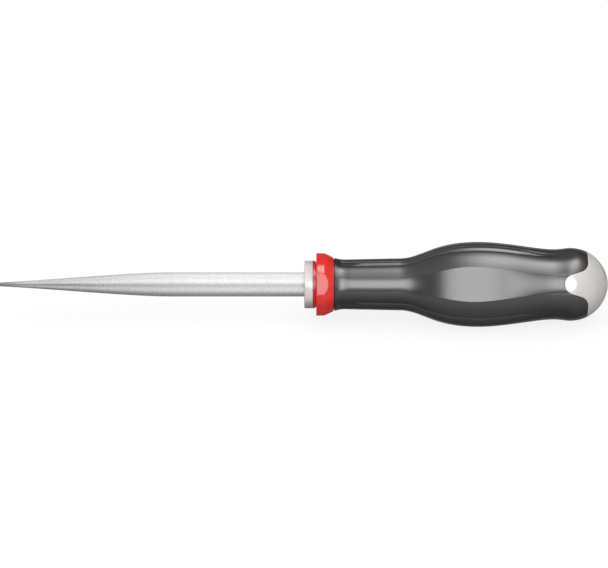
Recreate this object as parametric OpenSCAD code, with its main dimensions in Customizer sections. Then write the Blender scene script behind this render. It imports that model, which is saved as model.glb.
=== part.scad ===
// Flathead screwdriver with a round forged blade and a three-sided moulded handle.
// The tool lies along X with the middle of the blade's flat end at the origin.
// One pad of the handle faces straight down, as the tool lies on a bench.

/* [Blade] */
// Length of the blade from its flat end to the bolster
blade_len = 125; // [90:1:180]
// Diameter of the round shank
shank_d = 10; // [8:0.5:12]
// Length of the forged taper, from the flat end to the full round shank
taper_len = 70; // [45:1:80]
// Width of the flat tip
tip_w = 8; // [5:0.5:8]
// Thickness of the flat tip
tip_t = 1.6; // [1:0.1:2.5]
// Half the wedge angle at the tip, in degrees
tip_angle = 2.7; // [1:0.1:4]
// Length over which the sides are ground in to the tip's width
grind_len = 42; // [20:1:45]
// Bevel round the flat end
tip_bevel = 0.2; // [0.1:0.05:0.4]
// How far the tang runs into the handle past its widest place
tang_past = 9; // [2:1:20]
// Width across the two wings that stop the tang turning
wing_w = 16; // [13:0.5:20]
// Thickness of the wings
wing_t = 4; // [2:0.5:6]
// Length of the wings
wing_len = 12; // [6:1:18]

/* [Bolster] */
// Diameter of the steel collar in front of the handle
bolster_d = 19.6; // [18:0.1:22]
// Thickness of the steel collar
bolster_len = 3.5; // [2.5:0.1:6]
// Bevel on the collar's two outer edges
bolster_bevel = 0.35; // [0.1:0.05:0.8]

/* [Colour ring] */
// Length of the ring's front step, as wide as the bolster
step_len = 1.4; // [0.8:0.1:3]
// Diameter over the ring's rounded corners
ring_d = 25.9; // [23:0.1:30]
// Distance across the ring's flats
ring_flats = 24.2; // [22.5:0.1:28]
// Length of the ring's straight rim
rim_len = 3.2; // [2:0.1:6]
// Length of the cone behind the rim
cone_len = 4.2; // [2.5:0.1:8]
// Rounding of the rim's front edge
rim_round = 0.5; // [0.2:0.1:1]
// Wall of the core's six-sided nose round the tang
nose_wall = 2; // [1.5:0.1:2.5]

/* [Handle outline] */
// Diameter of the grip where it meets the ring
collar_d = 21.9; // [21:0.1:23]
// Length of the hollow curve behind the ring
collar_len = 4.2; // [2:0.1:8]
// Diameter of the neck at its slimmest
neck_d = 20.4; // [19:0.1:22]
// Length of the neck
neck_len = 23.8; // [15:0.1:40]
// Diameter of the neck where the handle starts to swell
throat_d = 21.2; // [20:0.1:24]
// Length from the throat to the widest place
swell_len = 31; // [22:0.5:45]
// Diameter of the handle at its widest place
bulb_d = 34.9; // [30:0.1:40]
// Length from the widest place to the waist
hip_len = 30.6; // [20:0.1:45]
// Diameter of the waist
waist_d = 28.7; // [26:0.1:32]
// Length from the waist to the rear crest
tail_len = 7.8; // [5:0.1:14]
// Diameter of the rear crest
tail_d = 29.8; // [27:0.1:34]
// Length of the domed end
dome_len = 15; // [11:0.1:20]

/* [Grip] */
// Number of sides of the handle
sides = 3; // [3:1:4]
// Thickness of the grip over the core
grip_wall = 3.2; // [2.5:0.1:3.6]
// Width of the flat land along each side of the neck
neck_land = 5.7; // [3:0.1:8]
// Greatest width of the leaf-shaped pad on each side
pad_w = 14.3; // [9:0.1:16]
// Distance of the pad's greatest width in front of the handle's widest place
pad_lead = 2.5; // [0:0.1:6]
// Width of the flat land along each side of the waist
tail_land = 6.8; // [4:0.1:8]
// Width of the raised rib along each corner
rib_w = 5.5; // [3:0.1:7]
// Height of the raised rib
rib_h = 0.6; // [0.3:0.1:1]
// Length over which a rib fades out at its ends
rib_fade = 6; // [3:0.5:8]
// Width of the core's splines under the ribs
spline_w = 4; // [2:0.1:5]
// Height of the core's splines
spline_h = 1.2; // [0.6:0.1:1.6]

/* [End cap] */
// Distance from the butt to the joint between the grip and the cap
cap_len = 8.2; // [6:0.1:11]
// Length of the cap's tongues, forward of that joint
tongue_len = 9.1; // [6:0.1:12]
// Width of the tongues
tongue_w = 8; // [6:0.1:10]
// Radius of the hollow corners at a tongue's root
root_r = 3; // [1:0.1:4]
// Diameter of the cap's spigot
spigot_d = 11; // [7:0.1:14]
// Length of the spigot
spigot_len = 12; // [6:0.5:16]
// Height of the bead that holds the spigot in the core
bead_h = 0.4; // [0.2:0.05:0.8]

/* [Hidden] */
$fn = 96;
eps = 0.01;

// Turn about the tool's axis that brings a side of the handle to face straight down
lay_turn = 360 / sides - 90;

// Places along the tool
x_step = blade_len + bolster_len;
x_rim = x_step + step_len;
x_cone = x_rim + rim_len;
x_grip = x_cone + cone_len;
x_neck = x_grip + collar_len;
x_throat = x_neck + neck_len;
x_bulb = x_throat + swell_len;
x_waist = x_bulb + hip_len;
x_tail = x_waist + tail_len;
x_butt = x_tail + dome_len;
x_pad = x_bulb - pad_lead;
x_cap = x_butt - cap_len;
x_wing = x_bulb - wing_len;
x_tang_end = x_bulb + tang_past;

// How strongly each end of a handle curve pulls level, as a share of the curve's length
swell_pull = [0.2, 0.54];
hip_pull = [0.37, 0.24];
tail_pull = [0.4, 0.4];
// The same for the forged taper, at the tip and at the shank
taper_pull = [0.29, 0.23];
// Half-thickness and half-width fall this much short inside the shank, to keep the joint clean
taper_tuck = 0.02;

// Numbers of steps along the curves
taper_steps = 24;
side_points = 20;
collar_steps = 4;
swell_steps = 14;
hip_steps = 12;
tail_steps = 4;
dome_steps = 14;
far = 2 * bulb_d;

// Curve helpers
function mix(a, b, t) = a + (b - a) * t;
function smooth(t) = let (u = min(max(t, 0), 1)) u * u * (3 - 2 * u);
function bezier(a, b, c, d, t) =
    pow(1 - t, 3) * a + 3 * pow(1 - t, 2) * t * b + 3 * (1 - t) * t * t * c + pow(t, 3) * d;
// Points of a curve that leaves p and reaches q level, without p itself
function level_curve(p, q, pull, steps) = [
    for (i = [1:steps])
        let (t = i / steps, run = q[0] - p[0])
            [bezier(p[0], p[0] + pull[0] * run, q[0] - pull[1] * run, q[0], t), mix(p[1], q[1], smooth(t))]
];

// Half-outline of the handle as [place along the tool, radius], from the ring to the butt
collar_curve = [
    for (i = [0:collar_steps])
        let (t = i / collar_steps)
            [x_grip + t * collar_len, (neck_d + (collar_d - neck_d) * pow(1 - t, 2)) / 2]
];
swell_curve = level_curve([x_throat, throat_d / 2], [x_bulb, bulb_d / 2], swell_pull, swell_steps);
hip_curve = level_curve([x_bulb, bulb_d / 2], [x_waist, waist_d / 2], hip_pull, hip_steps);
tail_curve = level_curve([x_waist, waist_d / 2], [x_tail, tail_d / 2], tail_pull, tail_steps);
dome_curve = [
    for (i = [1:dome_steps - 1])
        let (a = 90 * i / dome_steps)
            [x_tail + dome_len * sin(a), tail_d / 2 * cos(a)]
];
handle_outline = concat(
    collar_curve,
    [[x_throat, throat_d / 2]],
    swell_curve,
    hip_curve,
    tail_curve,
    dome_curve,
    [[x_butt, 0]]
);

// Radius of the handle at a place along it, before the pads are cut
function handle_r(x) = lookup(x, handle_outline);
// Half the width of the flat side at a place along the handle
function land_half(x) =
    x < x_pad
    ? mix(neck_land, pad_w, smooth((x - x_throat) / (x_pad - x_throat))) / 2
    : mix(pad_w, tail_land, smooth((x - x_pad) / (x_waist - x_pad))) / 2;
// Distance of the flat side from the axis
function land_depth(x) = sqrt(pow(handle_r(x), 2) - pow(land_half(x), 2));

// The flat sides run level from the rear crest backwards
land_outline = [
    for (p = handle_outline)
        if (p[0] < x_tail + eps)
            [p[0], land_depth(p[0])]
];
// A rib stands proud of the handle and fades out at the collar and at the rear crest
rib_outline = [
    for (p = handle_outline)
        if (p[0] > x_neck - eps && p[0] < x_tail + eps)
            let (
                rise = smooth((p[0] - x_neck) / rib_fade),
                fall = smooth((x_tail - p[0]) / rib_fade)
            )
                [p[0], p[1] + rib_h * min(rise, fall)]
];
// The core follows the handle, one grip wall further in
core_outline = [
    for (p = handle_outline)
        if (p[0] < x_cap - eps)
            [p[0], p[1] - grip_wall]
];

// Lays a piece, drawn standing on its flat end with a side facing -Y, along the tool
module placed() {
    rotate([-lay_turn, 0, 0]) rotate([0, 90, 0]) children();
}

// Solid turned about the tool's axis from points [place along the tool, radius]
module turned(points) {
    last = len(points) - 1;
    rotate_extrude()
        polygon(concat(
            [[0, points[0][0]]],
            [for (p = points) [p[1], p[0]]],
            points[last][1] > 0 ? [[0, points[last][0]]] : []
        ));
}

// Flat outline [place along the tool, distance outward] made as thick as wide, facing -Y
module upright(wide) {
    rotate([0, -90, 180]) linear_extrude(wide, center = true) children();
}

// Copies on every side of the handle, or on every corner when turned half a step
module each_side(half_step = 0) {
    for (i = [0:sides - 1])
        rotate([0, 0, (i + half_step) * 360 / sides]) children();
}

// Parallel band along every corner of the handle, cut out of the turned outline
module corner_bands(points, wide) {
    intersection() {
        turned(points);
        each_side(0.5)
            upright(wide)
                translate([x_step, 0])
                    square([x_butt - x_step, far]);
    }
}

// Handle outline with its flat sides, without ribs
module handle_body() {
    intersection() {
        turned(handle_outline);
        inside_flats();
    }
}

// Space inside all the flat sides
module inside_flats() {
    intersection_for (i = [0:sides - 1])
        rotate([0, 0, i * 360 / sides])
            upright(far)
                polygon(concat(
                    [[x_grip, -far]],
                    land_outline,
                    [[x_butt + far, land_depth(x_tail)], [x_butt + far, -far]]
                ));
}

// Outside of the moulded core, with the splines that hold the grip
module core_body() {
    turned(concat(core_outline, [[x_cap, handle_r(x_cap) - grip_wall]]));
    corner_bands(
        [for (p = core_outline) if (p[0] > x_throat && p[0] < x_waist) [p[0], p[1] + spline_h]],
        spline_w
    );
}

// Six-sided nose of the core, as long as the colour ring
module core_nose() {
    translate([0, 0, x_step])
        cylinder(h = x_grip - x_step, d = (shank_d + 2 * nose_wall) / cos(30), $fn = 6);
}

// Round part of the blade inside the handle, with its two wings
module tang() {
    translate([0, 0, blade_len])
        cylinder(h = x_tang_end - blade_len, d = shank_d);
    translate([0, 0, x_wing + wing_len / 2])
        cube([wing_t, wing_w, wing_len], center = true);
}

// Outline of one tongue of the cap, seen square on, with hollow corners at its root
module tongue_outline() {
    nose_r = tongue_w / 2;
    translate([x_cap - tongue_len + nose_r, 0]) circle(nose_r);
    translate([x_cap - tongue_len + nose_r, -nose_r])
        square([tongue_len - nose_r + eps, tongue_w]);
    for (m = [0, 1])
        mirror([0, m])
            difference() {
                translate([x_cap - root_r, 0])
                    square([root_r + eps, nose_r + root_r]);
                translate([x_cap - root_r, nose_r + root_r])
                    circle(root_r);
            }
}

// Space of the cap's tongues, from the axis outwards
module tongues() {
    each_side()
        rotate([90, 0, 0])
            linear_extrude(far)
                rotate(90)
                    tongue_outline();
}

// Everything behind the joint between grip and cap
module behind_joint() {
    translate([0, 0, x_cap])
        cylinder(h = far, r = far);
}

// Spigot of the cap with its holding bead
module spigot() {
    translate([0, 0, x_cap - spigot_len])
        cylinder(h = spigot_len + eps, d = spigot_d);
    translate([0, 0, x_cap - spigot_len / 2])
        rotate_extrude()
            translate([spigot_d / 2, 0])
                circle(bead_h);
}

// Half-thickness and half-width of the blade at a share of the taper's length
function taper_x(t) =
    bezier(0, taper_pull[0] * taper_len, (1 - taper_pull[1]) * taper_len, taper_len, t);
function taper_thick(t) =
    bezier(
        tip_t / 2,
        tip_t / 2 + taper_pull[0] * taper_len * tan(tip_angle),
        shank_d / 2,
        shank_d / 2,
        t
    );
function taper_wide(x) = mix(tip_w, shank_d, smooth(x / grind_len)) / 2;

// Points round one section of the blade: two flats joined by full round sides
function blade_section(x, thick, wide) = [
    for (side = [0, 1])
        for (i = [0:side_points])
            let (a = 180 * (side + i / side_points), shift = max(wide - thick, eps))
                [thick * cos(a), thick * sin(a) + (side == 0 ? shift : -shift), x]
];

// Forged taper, skinned over its sections from the flat end to just inside the shank
module forged_taper() {
    sections = concat(
        [blade_section(0, tip_t / 2 - tip_bevel, tip_w / 2 - tip_bevel)],
        [blade_section(tip_bevel, tip_t / 2, tip_w / 2)],
        [
            for (i = [1:taper_steps])
                let (t = i / taper_steps, x = taper_x(t))
                    blade_section(x, taper_thick(t) - taper_tuck * t, taper_wide(x) - taper_tuck * t)
        ],
        [blade_section(taper_len + 1, shank_d / 2 - taper_tuck, shank_d / 2 - taper_tuck)]
    );
    ring = len(sections[0]);
    rows = len(sections);
    polyhedron(
        points = [for (s = sections) for (p = s) p],
        faces = concat(
            [[for (j = [0:ring - 1]) j]],
            [
                for (i = [0:rows - 2])
                    for (j = [0:ring - 1])
                        let (k = (j + 1) % ring)
                            [i * ring + j, (i + 1) * ring + j, (i + 1) * ring + k, i * ring + k]
            ],
            [[for (j = [ring - 1:-1:0]) (rows - 1) * ring + j]]
        )
    );
}

// Steel blade: flat tip, forged taper, round shank and winged tang
module blade() {
    color("silver")
        placed() {
            forged_taper();
            translate([0, 0, taper_len])
                cylinder(h = blade_len - taper_len + eps, d = shank_d);
            tang();
        }
}

// Steel collar pressed on the shank, against the handle
module bolster() {
    r = bolster_d / 2;
    color("gainsboro")
        placed()
            rotate_extrude()
                polygon([
                    [shank_d / 2, blade_len],
                    [r - bolster_bevel, blade_len],
                    [r, blade_len + bolster_bevel],
                    [r, x_step - bolster_bevel],
                    [r - bolster_bevel, x_step],
                    [shank_d / 2, x_step]
                ]);
}

// Coloured ring that slips on the core's nose; its six flats stop the tool rolling
module colour_ring() {
    r = ring_d / 2;
    color("crimson")
        placed()
            difference() {
                intersection() {
                    turned(concat(
                        [[x_step, bolster_d / 2], [x_rim, bolster_d / 2]],
                        [
                            for (a = [0:15:90])
                                [x_rim + rim_round * (1 - cos(a)), r - rim_round * (1 - sin(a))]
                        ],
                        [[x_cone, r], [x_grip, collar_d / 2]]
                    ));
                    translate([0, 0, x_step])
                        cylinder(h = x_grip - x_step, d = ring_flats / cos(30), $fn = 6);
                }
                core_nose();
            }
}

// Hard inner handle moulded round the tang
module handle_core() {
    color("dimgray")
        placed()
            difference() {
                union() {
                    core_body();
                    core_nose();
                }
                tang();
                spigot();
            }
}

// Soft outer grip with lands, pads and corner ribs
module grip() {
    color("#3a3a3c")
        placed()
            difference() {
                union() {
                    handle_body();
                    corner_bands(rib_outline, rib_w);
                }
                core_body();
                tongues();
                behind_joint();
            }
}

// Light end cap with its tongues between the lobes and its spigot in the core
module end_cap() {
    color("#d5d0cc")
        placed() {
            difference() {
                intersection() {
                    handle_body();
                    union() {
                        behind_joint();
                        tongues();
                    }
                }
                core_body();
            }
            spigot();
        }
}

blade();
bolster();
colour_ring();
handle_core();
grip();
end_cap();
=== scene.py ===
# %% [markdown]
# A flathead screwdriver, dressed for a studio picture.
# The solids arrive as a fixed frame, in metres: a steel blade along X, a bolster, a red ring, a
# three-sided handle and a pale end cap. This lesson builds a fine skin for each visible piece as
# a numpy surface, gives each its finish from shader nodes, and then sets the light and camera.

# %% Load the frame
import math

import bpy
import numpy as np
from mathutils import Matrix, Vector


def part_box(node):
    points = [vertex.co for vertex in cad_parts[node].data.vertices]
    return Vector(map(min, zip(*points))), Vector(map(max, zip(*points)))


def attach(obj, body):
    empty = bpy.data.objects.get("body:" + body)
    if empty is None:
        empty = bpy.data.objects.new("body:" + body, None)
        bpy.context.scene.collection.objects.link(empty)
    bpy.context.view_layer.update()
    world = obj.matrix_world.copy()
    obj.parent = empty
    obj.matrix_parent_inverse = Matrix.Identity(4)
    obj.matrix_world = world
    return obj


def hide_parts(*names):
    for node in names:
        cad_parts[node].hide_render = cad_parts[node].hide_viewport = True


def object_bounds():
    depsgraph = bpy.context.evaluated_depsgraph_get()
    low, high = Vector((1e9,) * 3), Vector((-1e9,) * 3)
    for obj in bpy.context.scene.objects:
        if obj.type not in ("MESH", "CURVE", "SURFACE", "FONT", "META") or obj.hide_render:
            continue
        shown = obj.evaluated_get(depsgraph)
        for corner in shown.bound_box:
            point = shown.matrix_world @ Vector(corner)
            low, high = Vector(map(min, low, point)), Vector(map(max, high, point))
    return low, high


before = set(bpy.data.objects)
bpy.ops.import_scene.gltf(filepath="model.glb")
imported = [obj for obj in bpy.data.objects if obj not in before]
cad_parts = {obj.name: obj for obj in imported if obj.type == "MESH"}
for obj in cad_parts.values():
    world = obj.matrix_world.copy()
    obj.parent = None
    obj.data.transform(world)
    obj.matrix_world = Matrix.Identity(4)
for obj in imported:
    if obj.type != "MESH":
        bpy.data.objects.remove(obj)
cad_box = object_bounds()
MM = 0.001

# %% [markdown]
# The places along the tool come from the boxes of the solids, so the skins sit where the solids
# are. They could be typed in, but then a longer blade would leave its skin behind. The handle's
# own stations, between its collar and its domed butt, are real lengths in millimetres. The tool
# lies on one of its three sides, so the side that faces the camera is turned up by 30 degrees.

# %% Places along the tool
RING_LAP = 0.35 * MM
COLLAR_LEN, NECK_LEN, SWELL_LEN = 5.3 * MM, 21.45 * MM, 32.6 * MM
HIP_LEN, TAIL_LEN, CAP_LEN = 31.1 * MM, 7.0 * MM, 8.65 * MM
SIDES = 3
HALF_SIDE = math.pi / SIDES
LAY_TURN = math.radians(360 / SIDES - 90)

TIP_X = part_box("blade")[0][0]
TANG_END_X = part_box("blade")[1][0]
BOLSTER_X, STEP_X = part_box("bolster")[0][0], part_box("bolster")[1][0]
GRIP_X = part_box("colour_ring")[1][0] - RING_LAP
NECK_X = GRIP_X + COLLAR_LEN
THROAT_X = NECK_X + NECK_LEN
BULB_X = THROAT_X + SWELL_LEN
WAIST_X = BULB_X + HIP_LEN
TAIL_X = WAIST_X + TAIL_LEN
BUTT_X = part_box("end_cap")[1][0]
CAP_X = BUTT_X - CAP_LEN
print("handle from", round(GRIP_X, 4), "to", round(BUTT_X, 4), "m")

# %% [markdown]
# A few small formulas recur in every shape: a smooth step, a straight mix, a cubic curve and a
# soft limit. Blender's curve objects could draw the same lines, but formulas on whole arrays need
# no extra objects, and one formula can call another.

# %% Helper: curves
def smooth(t):
    """0 below 0, 1 above 1, and 3t^2 - 2t^3 between."""
    t = np.clip(t, 0, 1)
    return t * t * (3 - 2 * t)


def mix(a, b, t):
    """a at t = 0 and b at t = 1, in a straight line."""
    return a + (b - a) * t


def bezier(a, b, c, d, t):
    """Cubic curve from a to d, pulled towards b and c."""
    return (1 - t) ** 3 * a + 3 * (1 - t) ** 2 * t * b + 3 * (1 - t) * t * t * c + t ** 3 * d


def softer_min(a, b, soft):
    """The lesser of a and b, rounded at the change-over: half of a + b - sqrt((a - b)^2 + soft^2)."""
    return (a + b - np.sqrt((a - b) ** 2 + soft ** 2)) / 2


print("a smooth step, a quarter of the way along:", smooth(0.25))

# %% [markdown]
# Each visible piece of this tool is a sheet of points rolled up round the axis: rows run along the
# tool and columns run round it. One helper turns such a sheet into a mesh. Rows can close on
# themselves, as for a ring with a bore, or end in a single point, as for a dome. Faces could be
# added one by one, but working out all their corners as arrays is shorter and much faster.

# %% Helper: faces of a rolled sheet
def around(x, r, turn):
    """Points at place x, r from the axis, turned up from the side that faces the camera.

    With a as the turn plus the lay of the tool, y is -r cos a and z is r sin a.
    """
    x, r, turn = np.broadcast_arrays(x, r, turn)
    return np.stack([x, -r * np.cos(turn + LAY_TURN), r * np.sin(turn + LAY_TURN)], axis=-1)


def grid_faces(rows, cols, wrap_rows):
    """Four-sided faces of a grid that is closed round its columns.

    Each face joins point (i, j) to (i+1, j), (i+1, j+1) and (i, j+1), so with rows along +X and
    columns turning from the front upwards the faces point outwards.
    """
    i = np.arange(rows if wrap_rows else rows - 1)[:, None]
    j = np.arange(cols)[None, :]
    after_i, after_j = (i + 1) % rows, (j + 1) % cols
    corners = [i * cols + j, after_i * cols + j, after_i * cols + after_j, i * cols + after_j]
    return np.stack(np.broadcast_arrays(*corners), axis=-1).reshape(-1, 4).tolist()


def pole_faces(rows, cols, end, pole):
    """Triangles that join the first row, for end 0, or the last row, for end 1, to a pole point."""
    edge = np.arange(cols)
    after = (edge + 1) % cols
    last = (rows - 1) * cols
    tip = np.full(cols, pole)
    fan = [last + edge, tip, last + after] if end else [tip, edge, after]
    return np.stack(fan, axis=-1).tolist()


print("a sheet of 3 rows and 4 columns has", len(grid_faces(3, 4, False)), "faces")

# %% [markdown]
# The mesh is shaded smooth, apart from edges that are sharper than an angle. The piece then rides
# on the tool's one body and stands in for a solid of the frame.

# %% Helper: a skin from a sheet of points
def skin(name, grid, node, wrap_rows=False, poles=(None, None), crease=35):
    """Mesh over a grid of points, rows by columns by xyz, that replaces the solid of a node."""
    rows, cols = grid.shape[:2]
    points = grid.reshape(-1, 3)
    faces = grid_faces(rows, cols, wrap_rows)
    for end, pole in enumerate(poles):
        if pole is not None:
            faces += pole_faces(rows, cols, end, len(points))
            points = np.vstack([points, pole])
    mesh = bpy.data.meshes.new(name)
    mesh.from_pydata(points.tolist(), [], faces)
    mesh.validate()
    mesh.polygons.foreach_set("use_smooth", np.ones(len(mesh.polygons), dtype=bool))
    mesh.set_sharp_from_angle(angle=math.radians(crease))
    mesh.update()
    piece = bpy.data.objects.new(name, mesh)
    bpy.context.scene.collection.objects.link(piece)
    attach(piece, "root")
    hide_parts(node)
    print(name, "has", len(mesh.vertices), "points")
    return piece


print("skins lie turned by", round(math.degrees(LAY_TURN)), "degrees")

# %% [markdown]
# The handle is drawn as a radius for every place along it and every turn round it. Its plain
# outline is a chain of curves that leave and arrive level: a slim neck, a full bulb, a waist and
# a rear crest, closed by a dome. It could be one spline through many points, but level stations
# with named radii are easier to read off a real handle. Sampling the chain finely once lets every
# later formula ask for the radius at any place.

# %% Outline of the handle
COLLAR_R, NECK_R, THROAT_R = 11.1 * MM, 10.22 * MM, 10.62 * MM
BULB_R, WAIST_R, TAIL_R = 17.44 * MM, 14.37 * MM, 14.93 * MM
COLLAR_POWER, DOME_SLIM = 2.1, 0.074
NECK_PULLS, SWELL_PULLS = (0.1, 0.1), (0.3, 0.59)
HIP_PULLS, TAIL_PULLS = (0.38, 0.24), (0.45, 0.3)
CURVE_STEPS, COLLAR_STEPS = 200, 60


def level_curve(x0, r0, x1, r1, pulls):
    """Curve from (x0, r0) to (x1, r1), level at both ends, with each end's pull as a share."""
    t = np.linspace(0, 1, CURVE_STEPS)
    run = x1 - x0
    x = bezier(x0, x0 + pulls[0] * run, x1 - pulls[1] * run, x1, t)
    return x, mix(r0, r1, smooth(t))


def handle_outline():
    """Places and radii along the handle: hollow collar, neck, swell, hip, tail and dome.

    The collar falls as a power of the way left. The dome is an ellipse, slimmed by sin^4 of its
    turn.
    """
    t = np.linspace(0, 1, COLLAR_STEPS)
    dome = np.linspace(0, np.pi / 2, CURVE_STEPS)
    dome_r = TAIL_R * np.cos(dome) * (1 - DOME_SLIM * np.sin(dome) ** 4)
    parts = [
        (GRIP_X + t * COLLAR_LEN, mix(NECK_R, COLLAR_R, (1 - t) ** COLLAR_POWER)),
        level_curve(NECK_X, NECK_R, THROAT_X, THROAT_R, NECK_PULLS),
        level_curve(THROAT_X, THROAT_R, BULB_X, BULB_R, SWELL_PULLS),
        level_curve(BULB_X, BULB_R, WAIST_X, WAIST_R, HIP_PULLS),
        level_curve(WAIST_X, WAIST_R, TAIL_X, TAIL_R, TAIL_PULLS),
        (TAIL_X + (BUTT_X - TAIL_X) * np.sin(dome), dome_r),
    ]
    return np.concatenate([p[0] for p in parts]), np.concatenate([p[1] for p in parts])


OUTLINE_X, OUTLINE_R = handle_outline()


def handle_radius(x):
    """Plain radius of the handle at place x, read off the sampled outline."""
    return np.interp(x, OUTLINE_X, OUTLINE_R)


print("widest", round(2000 * OUTLINE_R.max(), 1), "mm")

# %% [markdown]
# Round the handle, each of the three sides has a land: a narrow stripe on the neck and the waist
# that opens into a leaf-shaped pad on the bulb. Each corner carries a rib, wide on the bulb and
# slim at the waist. Between land and rib lies a plain shoulder. The widths could be drawn as
# separate curves, but as functions of the place along the tool they serve the grid and the relief
# alike.

# %% Widths of lands and ribs
NECK_LAND, PAD_HALF, TAIL_LAND = 2.85 * MM, 7.15 * MM, 3.4 * MM
PAD_X, PAD_END_X = BULB_X - 2.5 * MM, WAIST_X + 2.6 * MM
NECK_RIB, BULB_RIB, TAIL_RIB = 1.58 * MM, 2.0 * MM, 0.8 * MM
RIB_SLIM_X, RIB_SLIM_LEN = BULB_X + 15.5 * MM, 13.0 * MM


def land_half(x):
    """Half-width of the land or pad at place x, in smooth steps up to the pad and down from it."""
    front = mix(NECK_LAND, PAD_HALF, smooth((x - THROAT_X) / (PAD_X - THROAT_X)))
    rear = mix(PAD_HALF, TAIL_LAND, smooth((x - PAD_X) / (PAD_END_X - PAD_X)))
    return np.where(x < PAD_X, front, rear)


def rib_half(x):
    """Half-width of the corner rib at place x, in smooth steps from neck to bulb and to waist."""
    full = mix(NECK_RIB, BULB_RIB, smooth((x - THROAT_X) / SWELL_LEN))
    return mix(full, TAIL_RIB, smooth((x - RIB_SLIM_X) / RIB_SLIM_LEN))


def zone_turns(x):
    """Turns, from the middle of a side, of the land's edge and the rib's edge.

    Each is the arcsine of a half-width over the radius. Behind the pad both are held.
    """
    held = np.minimum(x, PAD_END_X)
    radius = handle_radius(held)
    return np.arcsin(land_half(held) / radius), HALF_SIDE - np.arcsin(rib_half(held) / radius)


def folded(turn):
    """Turn from the middle of the nearest side, from 0 to half a side."""
    return np.abs((turn + HALF_SIDE) % (2 * HALF_SIDE) - HALF_SIDE)


print("pads are", round(2000 * PAD_HALF, 1), "mm wide")

# %% [markdown]
# On the neck and the waist the land swells a little, the shoulder falls away from it, and a fine
# slit runs between them. On the bulb the pad is dead flat and its edge is crisp. Beside each rib
# the shoulder rolls off into a shallow trough, from which the rib rises. All of this comes and
# goes along the tool, so each relief has a strength that is made of smooth steps. Sculpting could
# give such forms too, but formulas keep all three sides alike, and a number changes them.

# %% Strength of the relief
FLAT_RISE, FLAT_HOLD, FLAT_FALL = 12.0 * MM, 10.0 * MM, 23.1 * MM
CREASE_START, CREASE_EASE = 0.6 * MM, 3.2 * MM
LAND_START, LAND_EASE = 2.1 * MM, 5.2 * MM
LAND_END_X, LAND_END_FADE = TAIL_X + 2.0 * MM, 5.0 * MM
NECK_FALL, TAIL_FALL = 0.45 * MM, 0.7 * MM
FALL_END_X, FALL_END_FADE = CAP_X - 3.4 * MM, 5.0 * MM
ROLL_DEEP = 0.28 * MM
ROLL_END_X, ROLL_END_FADE = TAIL_X - 3.5 * MM, 12.0 * MM
RIB_START, RIB_FADE = 1.2 * MM, 5.5 * MM
RIB_END_X, RIB_END_FADE = TAIL_X - 8.5 * MM, 10.0 * MM


def flatness(x):
    """1 where the land is a flat pad, 0 where it is rounded: a smooth step up times one down."""
    rise = smooth((x - THROAT_X) / FLAT_RISE)
    fall = 1 - smooth((x - BULB_X - FLAT_HOLD) / FLAT_FALL)
    return rise * fall


def relief_strengths(x):
    """Flatness, swelling and slit of the land, fall and roll-off of the shoulder, rise of the rib.

    Each is a product, or the least, of smooth steps up from its start and down to its end.
    """
    flat = flatness(x)
    start = smooth((x - GRIP_X - CREASE_START) / CREASE_EASE)
    swollen = smooth((x - GRIP_X - LAND_START) / LAND_EASE)
    bare = (1 - flat) * start * smooth((LAND_END_X - x) / LAND_END_FADE)
    fall_end = smooth((FALL_END_X - x) / FALL_END_FADE)
    fall = (1 - flat) * start * fall_end * np.where(x < BULB_X, NECK_FALL, TAIL_FALL)
    roll = ROLL_DEEP * np.minimum(start, smooth((ROLL_END_X - x) / ROLL_END_FADE))
    rib_start = smooth((x - NECK_X - RIB_START) / RIB_FADE)
    ribbed = np.minimum(rib_start, smooth((RIB_END_X - x) / RIB_END_FADE))
    return flat, swollen, bare, fall, roll, ribbed


print("flatness on throat, bulb and waist:", flatness(np.array([THROAT_X, BULB_X, WAIST_X])).round(2))

# %% [markdown]
# With the strengths known, the radius at any place and turn is a short sum. A side of the handle
# could also be modelled once and copied round, but folding the turn onto half a side gives all
# six halves from one formula, with no seams between them.

# %% Surface of the handle
LAND_RISE, FALL_LEVEL = 0.22 * MM, 0.2
SLIT_HALF, SLIT_DEEP = 0.06 * MM, 0.2 * MM
ROLL_WIDE = 1.5 * MM
RIB_RISE, RIB_FLANK = 0.28 * MM, 1.7 * MM
TONGUE_DEPTH, TONGUE_SOFT = 14.85 * MM, 0.02 * MM


def handle_surface(x, turn):
    """Radius at place x and turn: plain radius, less a slow parabola from the land to the rib.

    Land: less flatness times (radius - depth / cos), plus a parabola where it isn't flat.
    Shoulder: less a quick parabola that rolls off at the rib. Rib: a quarter sine up from there.
    Slit: a narrow V along the land's edge. Tongue: the radius is limited to a flat, depth / cos.
    """
    radius = handle_radius(x)
    land, rib = zone_turns(x)
    fold = folded(turn)
    flat, swollen, bare, fall, roll, ribbed = relief_strengths(x)

    across = np.clip((fold - land) / (rib - land), 0, 1)
    base = radius + fall * (FALL_LEVEL * swollen - across ** 2)
    crown = 1 - (np.sin(fold) / np.sin(land)) ** 2
    on_land = base - flat * (radius - radius * np.cos(land) / np.cos(fold))
    on_land = on_land + bare * swollen * LAND_RISE * crown
    to_rib = np.clip(1 - radius * (rib - fold) / ROLL_WIDE, 0, 1)
    on_shoulder = base - roll * to_rib ** 2
    from_corner = radius * np.sin(HALF_SIDE - fold)
    flank = np.minimum(RIB_FLANK, rib_half(x))
    up_flank = np.clip((rib_half(x) - from_corner) / flank, 0, 1)
    climb = flank / RIB_FLANK * np.sin(np.pi / 2 * up_flank)
    on_rib = base - roll + ribbed * (RIB_RISE + ROLL_DEEP) * climb
    slit = SLIT_DEEP * bare * np.clip(1 - radius * np.abs(fold - land) / SLIT_HALF, 0, 1)

    r = np.where(fold < land, on_land, np.where(fold < rib, on_shoulder, on_rib)) - slit
    tongue = TONGUE_DEPTH / np.cos(fold)
    return np.where(x > WAIST_X, softer_min(r, tongue, TONGUE_SOFT), r)


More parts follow.
